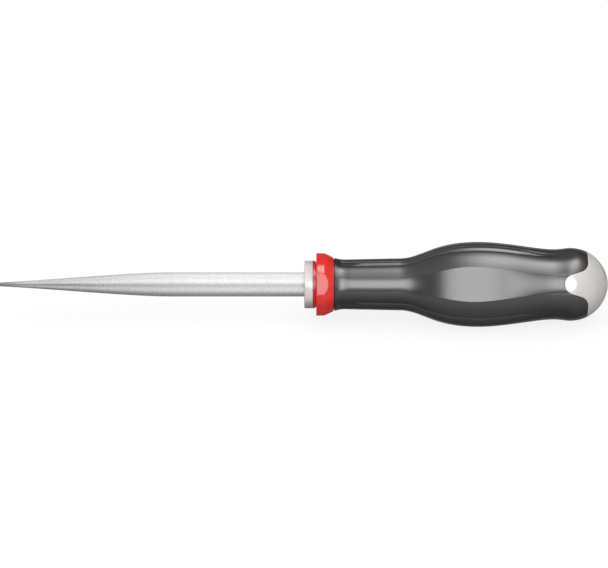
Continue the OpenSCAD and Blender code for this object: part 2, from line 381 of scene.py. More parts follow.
print("the pad's middle is", round(1000 * float(handle_surface(BULB_X, 0.0)), 2), "mm from the axis")

# %% [markdown]
# The joint between grip and cap runs straight across the three lobes and leaps forward round a
# tongue on each side. Seen flat, a tongue is a round nose, a slightly flared side and a hollow
# root. It could be cut with a boolean, but then the edge would cross the grid. As a length for
# each distance from the middle of the side, it bends the grid's last rows to the joint itself.

# %% Joint between grip and cap
TONGUE_LEN, NOSE_R, ROOT_R = 9.83 * MM, 4.05 * MM, 5.0 * MM
ROOT_S, FLARE = 4.87 * MM, 0.335
ARC_STEPS = 40


def tongue_reach(s):
    """Length of the tongue at distance s from its middle: nose arc, flared side, root arc."""
    nose = np.linspace(0, np.pi / 2 - FLARE, ARC_STEPS)
    root = np.linspace(np.pi + FLARE, 3 * np.pi / 2, ARC_STEPS)
    nose_s, nose_d = NOSE_R * np.sin(nose), TONGUE_LEN - NOSE_R + NOSE_R * np.cos(nose)
    root_s = ROOT_S + ROOT_R + ROOT_R * np.cos(root)
    root_d = ROOT_R + ROOT_R * np.sin(root)
    return np.interp(s, np.append(nose_s, root_s), np.append(nose_d, root_d))


def joint_x(turn):
    """Place of the joint at a turn round the handle: the cap's front, less the tongue's length."""
    return CAP_X - tongue_reach(TAIL_R * np.sin(folded(turn)))


print("tongues start at", round(float(joint_x(0.0)), 4), "and lobes end at", round(CAP_X, 4), "m")

# %% [markdown]
# The columns of the handle's grid follow its features: a fixed number lies on each land, shoulder
# and rib, bunched towards their edges. Evenly spaced columns would need to be far closer. This way
# slits and pad edges fall exactly on grid lines and stay crisp with few faces. Two small formulas
# finish the grip's ends: a rounded edge at the joint and a narrow groove beside the ring.

# %% Columns and edges of the grip
LAND_COLS, SHOULDER_COLS, RIB_COLS = 15, 28, 14
EDGE_R = 0.22 * MM
LIP_WIDE, LIP_DEEP, LIP_EASE = 0.42 * MM, 0.5 * MM, 0.14 * MM


def handle_turns(x):
    """Turns of all columns for each row x: lands, shoulders and ribs on every side.

    Sines and cosines of even steps bunch the columns towards the edges.
    """
    land, rib = (edge[:, None] for edge in zone_turns(x))
    slit = SLIT_HALF / handle_radius(x)[:, None]
    t_land = np.sin(np.pi / 2 * np.linspace(0, 1, LAND_COLS))
    t_shoulder = (1 - np.cos(np.pi * np.arange(SHOULDER_COLS) / SHOULDER_COLS)) / 2
    t_rib = 1 - np.cos(np.pi / 2 * np.arange(RIB_COLS + 1) / RIB_COLS)
    on_shoulder = mix(land + slit, rib, t_shoulder)
    half = np.hstack([(land - slit) * t_land, land, on_shoulder, mix(rib, HALF_SIDE, t_rib)])
    side = np.hstack([half, 2 * HALF_SIDE - half[:, -2:0:-1]])
    return np.hstack([side + 2 * HALF_SIDE * k for k in range(SIDES)])


def eased_edge(gap):
    """How far a rounded edge has dropped at distance gap from it: a quarter circle."""
    t = np.clip(1 - gap / EDGE_R, 0, 1)
    return EDGE_R * (1 - np.sqrt(1 - t * t))


def front_lip(x):
    """Depth of the narrow groove that parts the grip from the ring: one smooth step."""
    return LIP_DEEP * (1 - smooth((x - GRIP_X - LIP_WIDE) / LIP_EASE))


print("columns round the handle:", handle_turns(np.array([BULB_X])).shape[1])

# %% [markdown]
# The grip is the dark outer moulding. Its rows run straight round the handle as far as the end of
# the pads, and from there each is bent a little more, until the last one is the joint. A sheet
# with a Solidify modifier would do for its wall, but the inner rows are few, and writing them out
# lets the inner wall follow the core in long, plain stretches.

# %% Grip
GRIP_WALL = 3.2 * MM
LIP_ROWS, FINE_ROWS, BODY_ROWS, BENT_ROWS = 6, 22, 120, 26
FINE_FROM_X, FINE_TO_X, BODY_FROM_X = GRIP_X + 0.8 * MM, NECK_X + 2 * MM, NECK_X + 3 * MM
BENT_POWER = 1.8


def grip_grid():
    """Outer rows from ring to joint, then inner rows back along the core, as a closed shell.

    A bent row is a mix of the pads' end and the joint. The radius is the handle's surface, less the
    groove beside the ring and less the rounded edge at the joint.
    """
    straight = np.concatenate([
        [GRIP_X],
        GRIP_X + LIP_WIDE + LIP_EASE * np.linspace(0, 1, LIP_ROWS),
        np.linspace(FINE_FROM_X, FINE_TO_X, FINE_ROWS),
        np.linspace(BODY_FROM_X, PAD_END_X, BODY_ROWS),
    ])
    turns = handle_turns(straight)
    bent_turns = np.repeat(turns[-1:], BENT_ROWS, axis=0)
    share = 1 - (1 - np.linspace(0, 1, BENT_ROWS + 1)[1:, None]) ** BENT_POWER
    x_straight = np.repeat(straight[:, None], turns.shape[1], axis=1)
    x = np.vstack([x_straight, mix(PAD_END_X, joint_x(bent_turns), share)])
    turn = np.vstack([turns, bent_turns])
    r = handle_surface(x, turn) - front_lip(x) - eased_edge(joint_x(turn) - x)
    inner_x = [np.full_like(x[-1], at) for at in (PAD_END_X, BULB_X, THROAT_X)]
    inner_x = np.vstack([x[-1], *inner_x, x[0]])
    inner_turn = np.vstack([turn[-1]] * 3 + [turn[0]] * 2)
    inner_r = handle_radius(inner_x) - GRIP_WALL
    return around(np.vstack([x, inner_x]), np.vstack([r, inner_r]), np.vstack([turn, inner_turn]))


grip = skin("grip_moulding", grip_grid(), node="grip", wrap_rows=True,
            crease=60)

# %% [markdown]
# The end cap takes up the same surface behind the joint, so the two mouldings are flush. A scaled
# sphere would be quicker, but it would not meet the grip. The cap's rows gather at the butt, where
# the dome closes in one point, and its front closes over the core.

# %% End cap
DOME_ROWS = 70
CAP_EDGE_STEPS = np.array([0, 0.03, 0.1, 0.2]) * MM


def cap_grid():
    """Rows from the core's rear face, under the tongues, over the joint's edge and round the dome.

    On the dome, x is an even sweep of the angle whose cosine is the share of the dome's length.
    """
    turn = handle_turns(np.array([TAIL_X]))
    edge_x = joint_x(turn)
    x_edge = edge_x + CAP_EDGE_STEPS[:, None]
    dome_len = BUTT_X - TAIL_X
    dome_turn = np.arccos(np.clip((x_edge[-1] - TAIL_X) / dome_len, -1, 1))
    sweep = mix(dome_turn, 0, np.linspace(0, 1, DOME_ROWS + 2)[1:-1, None])
    x = np.vstack([x_edge, TAIL_X + dome_len * np.cos(sweep)])
    turns = np.repeat(turn, len(x), axis=0)
    r = handle_surface(x, turns) - eased_edge(x - edge_x)
    under_x = np.vstack([np.full_like(edge_x, CAP_X), edge_x])
    under_r = handle_radius(under_x) - GRIP_WALL
    under_turns = np.repeat(turn, 2, axis=0)
    all_turns = np.vstack([under_turns, turns])
    return around(np.vstack([under_x, x]), np.vstack([under_r, r]), all_turns)


end_cap = skin("domed_end_cap", cap_grid(), node="end_cap",
               poles=((CAP_X, 0, 0), (BUTT_X, 0, 0)), crease=60)

# %% [markdown]
# The colour ring is a red moulding: a narrow front step, a groove, a rim and a rear cone. Six
# flats stop the tool rolling away. They could be cut with booleans, but a flat is a plane parallel
# to the axis, so at each turn it limits the radius to the half-distance across the flats over the
# cosine of the turn from the flat's middle. The soft limit gives the soft edge of a moulding.

# %% Profile of the colour ring
STEP_R, STEP_EDGE = 9.8 * MM, 0.1 * MM
RING_R, RIM_ROUND = 12.95 * MM, 0.4 * MM
GROOVE_WIDE, GROOVE_DEEP = 0.4 * MM, 0.45 * MM
RIM_X = STEP_X + 1.4 * MM
CONE_X = RIM_X + 3.2 * MM
NOSE_BORE = 7.0 * MM
FACE_ROWS, EDGE_ROWS = 6, 9


def arc_points(x, r, radius, start, end, count):
    """Points on an arc round (x, r), with turns in degrees from +x towards +r."""
    a = np.radians(np.linspace(start, end, count))
    return np.stack([x + radius * np.cos(a), r + radius * np.sin(a)], axis=-1)


def ring_front():
    """Places and radii from the bore up the front step, through the groove and onto the rim."""
    groove_x, groove_r = RIM_X - GROOVE_WIDE, STEP_R - GROOVE_DEEP
    face_r = np.linspace(STEP_R + STEP_EDGE, RING_R - RIM_ROUND - 2 * STEP_EDGE, FACE_ROWS)
    return np.vstack([
        [[STEP_X, NOSE_BORE], [STEP_X, STEP_R - STEP_EDGE], [STEP_X + STEP_EDGE, STEP_R]],
        [[groove_x - STEP_EDGE, STEP_R], [groove_x, STEP_R - STEP_EDGE]],
        [[groove_x, groove_r], [RIM_X, groove_r]],
        [[RIM_X, r] for r in face_r],
        arc_points(RIM_X + RIM_ROUND, RING_R - RIM_ROUND, RIM_ROUND, 180, 90, EDGE_ROWS),
    ])


print("the ring's front has", len(ring_front()), "rows")

# %% [markdown]
# The profile is now carried round the axis. In front, the rim's height above the step shrinks
# towards the flats, so the rounded edge follows them. Behind, rim and cone are limited directly.

# %% Colour ring
FLATS, RING_FLAT = 6, 12.17 * MM
FLAT_SOFT, CONE_SOFT = 0.16 * MM, 0.25 * MM
RING_COLS, RIM_ROWS, CONE_ROWS = 540, 29, 39


def ring_grid():
    """Closed profile carried round the axis, limited by the flats on rim and cone."""
    turn = np.linspace(0, 2 * np.pi, RING_COLS + 1)[None, :-1]
    half_flat = np.pi / FLATS
    from_flat = (turn + half_flat) % (2 * half_flat) - half_flat
    limit = softer_min(RING_FLAT / np.cos(from_flat), RING_R, FLAT_SOFT)
    x_front, r_front = np.split(ring_front(), 2, axis=1)
    height = np.clip((r_front - STEP_R) / (RING_R - STEP_R), 0, None)
    r_front = np.where(r_front > STEP_R, STEP_R + height * (limit - STEP_R), r_front)
    rim = np.linspace(RIM_X + RIM_ROUND, CONE_X, RIM_ROWS + 1)[1:]
    cone = np.linspace(CONE_X, GRIP_X, CONE_ROWS + 1)[1:]
    x_rear = np.concatenate([rim, cone])[:, None]
    sloped = mix(RING_R, COLLAR_R, (x_rear - CONE_X) / (GRIP_X - CONE_X))
    r_rear = softer_min(softer_min(sloped, RING_R, CONE_SOFT), limit, FLAT_SOFT)
    x = np.vstack([x_front, x_rear, [[GRIP_X]]])
    return around(x, np.vstack([r_front, r_rear, np.full_like(turn, NOSE_BORE)]), turn)


ring = skin("colour_ring_moulding", ring_grid(), node="colour_ring",
            wrap_rows=True)

# %% [markdown]
# The bolster is a plain turned steel collar in front of the handle. A cylinder with a Bevel
# modifier comes close, but a closed profile carried once round the axis gives each edge its own
# radius, as a lathe would.

# %% Bolster
BOLSTER_R, SHANK_R = 9.8 * MM, 5.0 * MM
FRONT_EDGE, REAR_EDGE = 0.4 * MM, 0.15 * MM
BORE_EDGE, FACE_FROM_R = 0.3 * MM, 6.0 * MM
BOLSTER_COLS, BOLSTER_FACE_ROWS, REAR_EDGE_ROWS = 240, 5, 6


def bolster_grid():
    """Bore, front face, rounded edge, rim, rounded edge and rear face, turned round the axis."""
    face_r = np.linspace(FACE_FROM_R, BOLSTER_R - 2 * FRONT_EDGE, BOLSTER_FACE_ROWS)
    front_r, rear_r = BOLSTER_R - FRONT_EDGE, BOLSTER_R - REAR_EDGE
    profile = np.vstack([
        [[BOLSTER_X, SHANK_R], [BOLSTER_X, SHANK_R + BORE_EDGE]],
        [[BOLSTER_X, r] for r in face_r],
        arc_points(BOLSTER_X + FRONT_EDGE, front_r, FRONT_EDGE, 180, 90, EDGE_ROWS),
        arc_points(STEP_X - REAR_EDGE, rear_r, REAR_EDGE, 90, 0, REAR_EDGE_ROWS),
        [[STEP_X, SHANK_R]],
    ])
    turn = np.linspace(0, 2 * np.pi, BOLSTER_COLS + 1)[None, :-1]
    return around(profile[:, :1], profile[:, 1:], turn)


bolster = skin("turned_bolster", bolster_grid(), node="bolster",
               wrap_rows=True)

# %% [markdown]
# The blade starts as a round bar. Over the taper it is forged thinner and thinner: each section
# is two flats joined by full round sides, so seen edge-on it narrows like a cone, and seen flat it
# keeps nearly its whole width. The last stretch is ground in to the width of the tip. A cone
# squashed with a lattice would blur the flats; two curves, for thickness and for width, keep them.

# %% Sections of the blade
TAPER_LEN, GRIND_LEN = 70.0 * MM, 42.0 * MM
TIP_WIDE, TIP_THICK, TIP_BEVEL = 4.0 * MM, 0.8 * MM, 0.2 * MM
TIP_ANGLE = math.radians(2.7)
PULL_TIP, PULL_SHANK = 0.29, 0.23
BEVEL_ALONG, BEVEL_IN = np.array([0, 0.3, 1]), np.array([1, 0.4, 0])
TAPER_ROWS, SHANK_ROWS = 110, 30
SHANK_FROM_X, SHANK_TO_X = TIP_X + TAPER_LEN + 2 * MM, BOLSTER_X + 1 * MM


def blade_sections():
    """Places, half-thicknesses and half-widths of the sections, from the tip to the tang's end.

    Half-thickness is a cubic curve from the tip's wedge to the level shank. Half-width is a smooth
    step over the ground stretch. The tip's edge is bevelled.
    """
    t = np.linspace(0, 1, TAPER_ROWS)
    wedge = TIP_THICK + PULL_TIP * TAPER_LEN * math.tan(TIP_ANGLE)
    x = TIP_X + bezier(0, PULL_TIP * TAPER_LEN, (1 - PULL_SHANK) * TAPER_LEN, TAPER_LEN, t)
    thick = bezier(TIP_THICK, wedge, SHANK_R, SHANK_R, t)
    wide = mix(TIP_WIDE, SHANK_R, smooth((x - TIP_X) / GRIND_LEN))
    shank_x = np.append(np.linspace(SHANK_FROM_X, SHANK_TO_X, SHANK_ROWS), TANG_END_X)
    shank = np.full_like(shank_x, SHANK_R)
    x = np.concatenate([TIP_X + BEVEL_ALONG * TIP_BEVEL, x[1:], shank_x])
    thick = np.concatenate([TIP_THICK - BEVEL_IN * TIP_BEVEL, thick[1:], shank])
    wide = np.concatenate([TIP_WIDE - BEVEL_IN * TIP_BEVEL, wide[1:], shank])
    return x[:, None], thick[:, None], wide[:, None]


print("the blade has", len(blade_sections()[0]), "sections")

# %% [markdown]
# Each section is then drawn as two half circles, moved apart by the difference between width and
# thickness. A hair's gap keeps the halves apart on the round shank, so no face shrinks to nothing.

# %% Blade
HALF_COLS = 41
HALVES_GAP = 0.001 * MM


def blade_grid():
    """Sections along the blade, each turned as the tool lies.

    A point at angle a is thick * (sin a, -cos a), shifted along the width by wide - thick.
    """
    x, thick, wide = blade_sections()
    half = np.linspace(0, np.pi, HALF_COLS)
    angle = np.concatenate([half, half + np.pi])[None, :]
    side = np.repeat([1.0, -1.0], HALF_COLS)[None, :]
    up = -thick * np.cos(angle)
    front = thick * np.sin(angle) + side * np.maximum(wide - thick, HALVES_GAP)
    y = -front * math.cos(LAY_TURN) + up * math.sin(LAY_TURN)
    z = front * math.sin(LAY_TURN) + up * math.cos(LAY_TURN)
    return np.stack(np.broadcast_arrays(x, y, z), axis=-1)


blade = skin("forged_blade", blade_grid(), node="blade",
             poles=((TIP_X, 0, 0), (TANG_END_X, 0, 0)), crease=40)

# %% [markdown]
# Finishes are built from nodes. Wired by hand, each would need many lines, so a few helpers add
# the nodes and hand back their outputs. Plain numbers are set on the sockets themselves.

# %% Helper: nodes
def math_node(tree, operation, *values):
    """Math node whose inputs are numbers or other nodes' outputs."""
    made = tree.nodes.new("ShaderNodeMath")
    made.operation = operation
    for socket, value in zip(made.inputs, values):
        if isinstance(value, (int, float)):
            socket.default_value = value
        else:
            tree.links.new(value, socket)
    return made.outputs[0]


def place_on(tree):
    """Outputs X, Y and Z of the Object coordinates."""
    split = tree.nodes.new("ShaderNodeSeparateXYZ")
    where = tree.nodes.new("ShaderNodeTexCoord")
    tree.links.new(where.outputs["Object"], split.inputs[0])
    return split.outputs


def ramp(tree, value, low, high, out_low=0.0, out_high=1.0, smoothed=True):
    """Step of a value from low to high, smooth or straight."""
    ranged = tree.nodes.new("ShaderNodeMapRange")
    ranged.interpolation_type = "SMOOTHSTEP" if smoothed else "LINEAR"
    labels = ("From Min", "From Max", "To Min", "To Max")
    for label, number in zip(labels, (low, high, out_low, out_high)):
        ranged.inputs[label].default_value = number
    tree.links.new(value, ranged.inputs["Value"])
    return ranged.outputs["Result"]


def colour_mix(tree, mask, low, high):
    """Colour that runs from low to high with a mask; both are colours or other nodes' outputs."""
    blend = tree.nodes.new("ShaderNodeMix")
    blend.data_type = "RGBA"
    tree.links.new(mask, blend.inputs["Factor"])
    for label, colour in (("A", low), ("B", high)):
        if isinstance(colour, tuple):
            blend.inputs[label].default_value = (*colour, 1)
        else:
            tree.links.new(colour, blend.inputs[label])
    return blend.outputs["Result"]


def new_material(name):
    """Material with a node tree, and its Principled BSDF."""
    material = bpy.data.materials.new(name)
    material.use_nodes = True
    print("material", name)
    return material, material.node_tree, material.node_tree.nodes["Principled BSDF"]


print("node groups so far:", len(bpy.data.node_groups))

# %% [markdown]
# All the finishes share one effect: an uneven grain. Fine, it is the texture of a moulded or a
# blasted surface; coarse, it is the slight cloudiness of tone that any real surface has. Each
# material could hold its own noise, but one node group with named sockets serves both scales. It
# gives a height for bumps and a mask for colour and gloss.

# %% Grain group
GRAIN_DETAIL, GRAIN_ROUGHNESS = 3.0, 0.6


def new_group(name, inputs, outputs):
    """Empty shader group with float inputs, float outputs and its two end nodes."""
    tree = bpy.data.node_groups.new(name, "ShaderNodeTree")
    for label, value in inputs.items():
        socket = tree.interface.new_socket(label, in_out="INPUT", socket_type="NodeSocketFloat")
        socket.default_value = value
    for label in outputs:
        tree.interface.new_socket(label, in_out="OUTPUT", socket_type="NodeSocketFloat")
    return tree, tree.nodes.new("NodeGroupInput"), tree.nodes.new("NodeGroupOutput")


def fine_grain_group():
    """Noise on Object coordinates as Height, and 0.5 + contrast * (noise - 0.5) as a 0 to 1 Mask."""
    inputs = {"Scale": 4000.0, "Contrast": 1.0}
    tree, start, end = new_group("fine_grain", inputs, ["Height", "Mask"])
    where = tree.nodes.new("ShaderNodeTexCoord")
    noise = tree.nodes.new("ShaderNodeTexNoise")
    noise.inputs["Detail"].default_value = GRAIN_DETAIL
    noise.inputs["Roughness"].default_value = GRAIN_ROUGHNESS
    tree.links.new(where.outputs["Object"], noise.inputs["Vector"])
    tree.links.new(start.outputs["Scale"], noise.inputs["Scale"])
    off = math_node(tree, "SUBTRACT", noise.outputs["Fac"], 0.5)
    mask = math_node(tree, "MULTIPLY_ADD", off, start.outputs["Contrast"], 0.5)
    mask.node.use_clamp = True
    tree.links.new(noise.outputs["Fac"], end.inputs["Height"])
    tree.links.new(mask, end.inputs["Mask"])
    return tree


FINE_GRAIN = fine_grain_group()
print("node group", FINE_GRAIN.name, "has", len(FINE_GRAIN.nodes), "nodes")

# %% [markdown]
# A finish then needs only two steps: place the grain, and wire a colour, a roughness and a bump
# to the shader. The shader itself stays in the material, where it can be found.

# %% Helper: finishes
def grain(tree, scale, contrast):
    """Outputs Height and Mask of the grain group, placed in a material."""
    made = tree.nodes.new("ShaderNodeGroup")
    made.node_tree = FINE_GRAIN
    made.inputs["Scale"].default_value = scale
    made.inputs["Contrast"].default_value = contrast
    return made.outputs


def surface(tree, shader, colour, gloss_mask, gloss, height, strength, distance):
    """Wires a colour, a roughness that runs over gloss with a mask, and a bump to a shader."""
    bump = tree.nodes.new("ShaderNodeBump")
    bump.inputs["Strength"].default_value = strength
    bump.inputs["Distance"].default_value = distance
    tree.links.new(height, bump.inputs["Height"])
    roughness = ramp(tree, gloss_mask, 0.0, 1.0, *gloss, smoothed=False)
    tree.links.new(colour, shader.inputs["Base Color"])
    tree.links.new(roughness, shader.inputs["Roughness"])
    tree.links.new(bump.outputs["Normal"], shader.inputs["Normal"])


print("materials so far:", len(bpy.data.materials))

# %% [markdown]
# The grip, the ring, the cap and the core are moulded plastics and share one recipe: a colour that
# drifts slightly between two close tones, and a very fine moulded grain that changes the gloss and
# the bump together. One flat colour would look like a drawing. What differs between them is how
# far each value runs.

# %% Plastics
CLOUD_SCALE, CLOUD_CONTRAST = 90.0, 2.0
MOULD_CONTRAST, MOULD_BUMP = 1.6, 0.25


def moulded_plastic(name, low, high, gloss, grain_scale, grain_deep, shine):
    """Moulded plastic between two tones and two roughnesses, with a fine grain."""
    material, tree, shader = new_material(name)
    fine = grain(tree, grain_scale, MOULD_CONTRAST)
    colour = colour_mix(tree, grain(tree, CLOUD_SCALE, CLOUD_CONTRAST)["Mask"], low, high)
    surface(tree, shader, colour, fine["Mask"], gloss, fine["Height"], MOULD_BUMP, grain_deep)
    shader.inputs["Specular IOR Level"].default_value = shine
    return material


DARK_GRIP = moulded_plastic(
    "dark_grip_plastic", low=(0.011, 0.011, 0.0112), high=(0.014, 0.014, 0.0142),
    gloss=(0.26, 0.32), grain_scale=3500.0, grain_deep=0.004 * MM, shine=0.5)
RED_RING = moulded_plastic(
    "red_ring_plastic", low=(0.73, 0.012, 0.004), high=(0.78, 0.016, 0.006),
    gloss=(0.24, 0.28), grain_scale=3000.0, grain_deep=0.002 * MM, shine=0.45)
LIGHT_CAP = moulded_plastic(
    "light_cap_plastic", low=(0.67, 0.633, 0.612), high=(0.71, 0.673, 0.652),
    gloss=(0.17, 0.22), grain_scale=3500.0, grain_deep=0.002 * MM, shine=0.5)
GREY_CORE = moulded_plastic(
    "grey_core_plastic", low=(0.22, 0.22, 0.22), high=(0.27, 0.27, 0.27),
    gloss=(0.45, 0.55), grain_scale=2000.0, grain_deep=0.02 * MM, shine=0.5)

# %% [markdown]
# The ring's front step lies in the shade between the bolster and the rim. The soft light of this
# scene hardly shades so shallow a recess, so the colour does: a mask along X changes to a darker
# red in front of the groove.

# %% Shaded step of the ring
def shade_step(material, low, high):
    """Gives the ring's front step a darker colour, which runs from low to high with the cloud."""
    tree = material.node_tree
    base = tree.nodes["Principled BSDF"].inputs["Base Color"]
    body = base.links[0].from_socket
    behind = ramp(tree, place_on(tree)["X"], RIM_X - GROOVE_WIDE, RIM_X)
    shaded = colour_mix(tree, grain(tree, CLOUD_SCALE, CLOUD_CONTRAST)["Mask"], low, high)
    tree.links.new(colour_mix(tree, behind, shaded, body), base)
    print("step shaded as far as", round(RIM_X, 5), "m")


shade_step(RED_RING, low=(0.47, 0.008, 0.004), high=(0.51, 0.01, 0.005))

# %% [markdown]
# The blade is blasted and plated, so it has a fine, bright, sparkling grain rather than brush
# lines. Towards the tip the steel gets darker in two steps. That could be painted as vertex
# colours, but two smooth steps along X do it with no extra data.

# %% Blade steel
TIP_END_LEN, MIDWAY_LEN = 12.0 * MM, 100.0 * MM
BRIGHT_TONES = (0.63, 0.63, 0.63), (0.82, 0.82, 0.82)
MIDWAY_TONES = (0.36, 0.36, 0.355), (0.56, 0.56, 0.555)
TIP_END_TONES = (0.2, 0.2, 0.196), (0.3, 0.3, 0.296)
BLAST_SCALE, BLAST_BUMP, BLAST_DEEP = 1500.0, 0.5, 0.03 * MM
BLADE_CLOUD_SCALE, BLADE_GLOSS, STEEL_CONTRAST = 120.0, (0.26, 0.33), 2.0


def blasted_steel():
    """Bright satin steel with a fine blasted grain, darker towards the tip."""
    material, tree, shader = new_material("satin_blade_steel")
    shader.inputs["Metallic"].default_value = 1.0
    fine = grain(tree, BLAST_SCALE, STEEL_CONTRAST)
    cloud = grain(tree, BLADE_CLOUD_SCALE, STEEL_CONTRAST)["Mask"]
    along = place_on(tree)["X"]
    tones = BRIGHT_TONES, MIDWAY_TONES, TIP_END_TONES
    bright, midway_tone, tip_end_tone = (colour_mix(tree, fine["Mask"], *pair) for pair in tones)
    # The steel gets darker towards the tip in two smooth steps along X.
    front = colour_mix(tree, ramp(tree, along, TIP_X, TIP_X + TIP_END_LEN), tip_end_tone, midway_tone)
    whole = colour_mix(tree, ramp(tree, along, TIP_X, TIP_X + MIDWAY_LEN), front, bright)
    surface(tree, shader, whole, cloud, BLADE_GLOSS, fine["Height"], BLAST_BUMP, BLAST_DEEP)
    return material


BLADE_STEEL = blasted_steel()

# %% [markdown]
# The bolster is turned on a lathe, so fine rings run round it, and its steel is slightly warmer.
# Modelled rings would cost many faces. A wave texture along X gives them as gloss and bump.

# %% Bolster steel
LATHE_WAVE = {"Scale": 700.0, "Distortion": 1.5, "Detail": 2.0, "Detail Scale": 40.0}
LATHE_BUMP, LATHE_DEEP = 0.3, 0.01 * MM
WARM_TONES = (0.585, 0.553, 0.546), (0.68, 0.643, 0.634)
BOLSTER_CLOUD_SCALE, BOLSTER_GLOSS = 300.0, (0.34, 0.42)


def turned_steel():
    """Bright, warm steel with fine turning rings."""
    material, tree, shader = new_material("turned_bolster_steel")
    shader.inputs["Metallic"].default_value = 1.0
    where = tree.nodes.new("ShaderNodeTexCoord")
    rings = tree.nodes.new("ShaderNodeTexWave")
    rings.bands_direction = "X"
    for label, value in LATHE_WAVE.items():
        rings.inputs[label].default_value = value
    tree.links.new(where.outputs["Object"], rings.inputs["Vector"])
    cloud = grain(tree, BOLSTER_CLOUD_SCALE, STEEL_CONTRAST)["Mask"]
    colour = colour_mix(tree, cloud, *WARM_TONES)
    wave = rings.outputs["Fac"]
    surface(tree, shader, colour, wave, BOLSTER_GLOSS, wave, LATHE_BUMP, LATHE_DEEP)
    return material


BOLSTER_STEEL = turned_steel()

# %% [markdown]
# Each real piece is made of a single material, so each gets one here. Faces could carry different
# slots, but no piece of this tool needs more than one. The core keeps its solid, because the other
# mouldings hide it.

# %% Dress the pieces
def dress(piece, material):
    """Gives a piece its one material."""
    piece.data.materials.clear()
    piece.data.materials.append(material)
    print(piece.name, "wears", material.name)


dress(grip, DARK_GRIP)
dress(ring, RED_RING)
dress(end_cap, LIGHT_CAP)
dress(bolster, BOLSTER_STEEL)
dress(blade, BLADE_STEEL)
dress(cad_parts["handle_core"], GREY_CORE)

# %% [markdown]
# The floor is a white sheet, and it takes the tool's shadow. It also carries painted shade and
# painted light that the camera doesn't see, like the dark and pale cards a studio would lay on it,
# so that undersides and top edges keep their shape: grey painted shade along the blade, deeper
# painted shade along the handle with a glowing gap under and behind it, and a glowing pale card in
# front of the handle, a painted reflection for its lower shoulders to mirror.

# %% Masks of the floor's cards
# These bound the floor's painted shade under the tool, its glowing gap and its glowing pale card, all
# hidden from the camera.
CARD_FRONT, CARD_FRONT_SOFT = -0.018, 0.014
BLADE_CARD_REAR, BLADE_CARD_SOFT = 0.06, 0.03
HANDLE_CARD_REAR, HANDLE_CARD_SOFT = 0.22, 0.12
HANDLE_CARD_X, HANDLE_CARD_X_SOFT = 0.138, 0.01
GAP_FRONT, GAP_REAR, GAP_SOFT = -0.009, 0.045, 0.003
PALE_FRONT, PALE_REAR, PALE_SOFT = -0.13, -0.04, 0.015


def around_step(tree, value, middle, soft, rising=True):
    """Smooth step of a value, centred on middle and soft to either side."""
    ends = (0.0, 1.0) if rising else (1.0, 0.0)
    return ramp(tree, value, middle - soft, middle + soft, *ends)


def strip(tree, value, low, high, soft):
    """1 between low and high and 0 outside: a rising step times a falling one."""
    rise = around_step(tree, value, low, soft)
    return math_node(tree, "MULTIPLY", rise, around_step(tree, value, high, soft, rising=False))


def floor_masks(tree):
    """Masks of the handle's stretch, the dark cards of painted shade, the glowing gap and the glowing
    pale card.

    Dark cards of painted shade: front edge times the larger of the blade's rear edge and the handle's
    rear edge.
    """
    place = place_on(tree)
    along, across = place["X"], place["Y"]
    handle = around_step(tree, along, HANDLE_CARD_X, HANDLE_CARD_X_SOFT)
    front = around_step(tree, across, CARD_FRONT, CARD_FRONT_SOFT)
    blade_rear = around_step(tree, across, BLADE_CARD_REAR, BLADE_CARD_SOFT, rising=False)
    handle_rear = around_step(tree, across, HANDLE_CARD_REAR, HANDLE_CARD_SOFT, rising=False)
    deep = math_node(tree, "MAXIMUM", blade_rear, math_node(tree, "MULTIPLY", handle_rear, handle))
    dark = math_node(tree, "MULTIPLY", front, deep)
    gap = math_node(tree, "MULTIPLY", strip(tree, across, GAP_FRONT, GAP_REAR, GAP_SOFT), handle)
    pale = math_node(tree, "MULTIPLY", strip(tree, across, PALE_FRONT, PALE_REAR, PALE_SOFT), handle)
    return handle, dark, gap, pale


print("handle's cards start at", HANDLE_CARD_X, "m")

# %% [markdown]
# A white floor could be had by adding lamps, but they would bleach the tool. Instead the floor
# glows towards the camera and in reflections, which lifts it to white and adds no lamp light to
# the tool.

# %% Floor material
FLOOR_ROUGH = 0.9
# The cards' tones are painted shade under the tool, and the lifts of the gap and the pale card are
# painted glow, seen only in reflections.
FLOOR_TONE, BLADE_SHADE_TONE, HANDLE_SHADE_TONE, FLOOR_SEEN_TONE = 0.38, 0.4, 0.1, 0.18
FLOOR_LIFT, GAP_LIFT, PALE_LIFT, FLOOR_SEEN_LIFT = 0.6, 0.3, 0.6, 0.84


def blended(tree, mask, low, high):
    """Value that runs from low to high with a mask: mask * (high - low) + low."""
    return math_node(tree, "MULTIPLY_ADD", mask, math_node(tree, "SUBTRACT", high, low), low)


